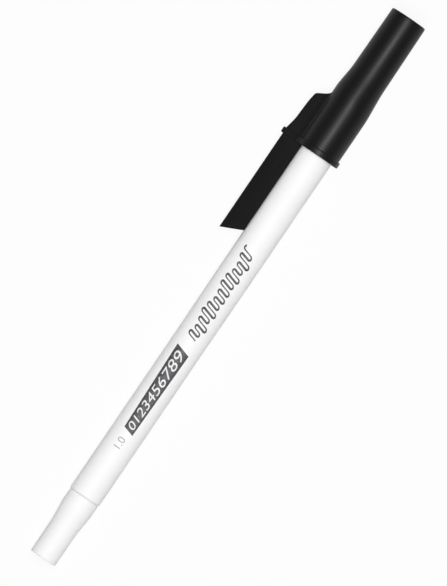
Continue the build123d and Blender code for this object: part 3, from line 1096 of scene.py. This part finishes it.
floor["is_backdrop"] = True
print("floor tilted by", round(math.degrees(tilt), 2), "degrees")

# %% White card
FIBRE_MM, GLOW_SHARE = 1.5, 0.9
white_card, place = blank_material("white_card_matt")
fibres = add_node(
    white_card, "ShaderNodeTexNoise", {"Vector": place, "Scale": per_mm(FIBRE_MM), "Detail": 3.0}
)
card = add_node(
    white_card,
    "ShaderNodeMix",
    {0: fibres.outputs["Fac"], 6: linear("#dfdfdf"), 7: linear("#e4e4e4")},
    data_type="RGBA",
)
lit = add_node(white_card, "ShaderNodeBsdfDiffuse", {"Color": card.outputs[2]})
glow = add_node(white_card, "ShaderNodeEmission", {"Color": linear("#ffffff"), "Strength": 1.0})
rays = add_node(white_card, "ShaderNodeLightPath", {})
seen = add_node(
    white_card,
    "ShaderNodeMath",
    {0: rays.outputs["Is Camera Ray"], 1: rays.outputs["Is Glossy Ray"]},
    operation="MAXIMUM",
)
seen = add_node(
    white_card,
    "ShaderNodeMath",
    {0: seen.outputs[0], 1: rays.outputs["Is Transmission Ray"]},
    operation="MAXIMUM",
)
share = add_node(
    white_card, "ShaderNodeMath", {0: seen.outputs[0], 1: GLOW_SHARE}, operation="MULTIPLY"
)
surface = add_node(
    white_card,
    "ShaderNodeMixShader",
    {0: share.outputs[0], 1: lit.outputs[0], 2: glow.outputs[0]},
)
add_node(white_card, "ShaderNodeOutputMaterial", {"Surface": surface.outputs[0]})
floor.data.materials.append(white_card)
print("floor wears", white_card.name)

# %% [markdown]
# One long strip softbox hangs almost straight over the pen. On the black cap it draws a soft line
# along the middle, and on the white barrel it leaves the edges a little darker than the middle.
# The world is a dim, even fill.

# %% Light
pen_middle = Vector((CAP_TOP_X / 2, 0, 0)) * MM
KEY_OFF, KEY_DISTANCE = math.radians(2.0), 0.9
KEY_LENGTH, KEY_WIDTH, KEY_WATTS, FILL = 0.6, 0.2, 8.15, 0.165
key_from = Vector((0, -math.sin(KEY_OFF), math.cos(KEY_OFF)))
key_data = bpy.data.lights.new("softbox", "AREA")
key_data.shape = "RECTANGLE"
key_data.size, key_data.size_y = KEY_LENGTH, KEY_WIDTH
key_data.energy = KEY_WATTS
key = bpy.data.objects.new("softbox", key_data)
bpy.context.scene.collection.objects.link(key)
pen_axis = Vector((1, 0, 0))
key.matrix_world = Matrix.Translation(pen_middle + key_from * KEY_DISTANCE) @ Matrix(
    (pen_axis, key_from.cross(pen_axis), key_from)
).transposed().to_4x4()
key.visible_camera = False

world = bpy.data.worlds.new("studio")
world.use_nodes = True
world.node_tree.nodes.clear()
fill = add_node(world, "ShaderNodeBackground", {"Color": linear("#ffffff"), "Strength": FILL})
add_node(world, "ShaderNodeOutputWorld", {"Surface": fill.outputs[0]})
bpy.context.scene.world = world
print("softbox at", [round(v, 2) for v in key.location])

# %% [markdown]
# The camera looks straight down from far away through a very long lens, so the pen's two ends look
# equally thick. It is rolled until the pen runs from the lower left to the upper right.

# %% Camera
PICTURE_W, PICTURE_H = 447, 586
PIXELS_PER_MM = 4.398
SLOPE = math.radians(55.83)
MIDDLE_PX = (226.05, 288.2)
SENSOR_MM, LENS_MM = 36.0, 600.0
side_on = Vector((0, 1, 0))
right = pen_axis * math.cos(SLOPE) - side_on * math.sin(SLOPE)
up = pen_axis * math.sin(SLOPE) + side_on * math.cos(SLOPE)
towards_camera = right.cross(up)
metres_per_pixel = MM / PIXELS_PER_MM
aim = pen_middle - right * (MIDDLE_PX[0] - PICTURE_W / 2) * metres_per_pixel
aim = aim + up * (MIDDLE_PX[1] - PICTURE_H / 2) * metres_per_pixel
distance = PICTURE_H * metres_per_pixel * LENS_MM / SENSOR_MM
camera_data = bpy.data.cameras.new("camera")
camera_data.sensor_fit = "AUTO"
camera_data.sensor_width = SENSOR_MM
camera_data.lens = LENS_MM
camera_data.clip_start, camera_data.clip_end = 0.05, 40.0
camera = bpy.data.objects.new("camera", camera_data)
bpy.context.scene.collection.objects.link(camera)
camera.matrix_world = Matrix.Translation(aim + towards_camera * distance) @ Matrix(
    (right, up, towards_camera)
).transposed().to_4x4()
bpy.context.scene.camera = camera
bpy.context.scene.view_settings.view_transform = "Standard"
print("camera", round(distance, 3), "m from the pen")

# %% Finish
boxes = {"cad": cad_box, "visual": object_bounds()}
for whose, (low, high) in boxes.items():
    print(whose, "box:", [round((b - a) / MM, 2) for a, b in zip(low, high)], "mm")
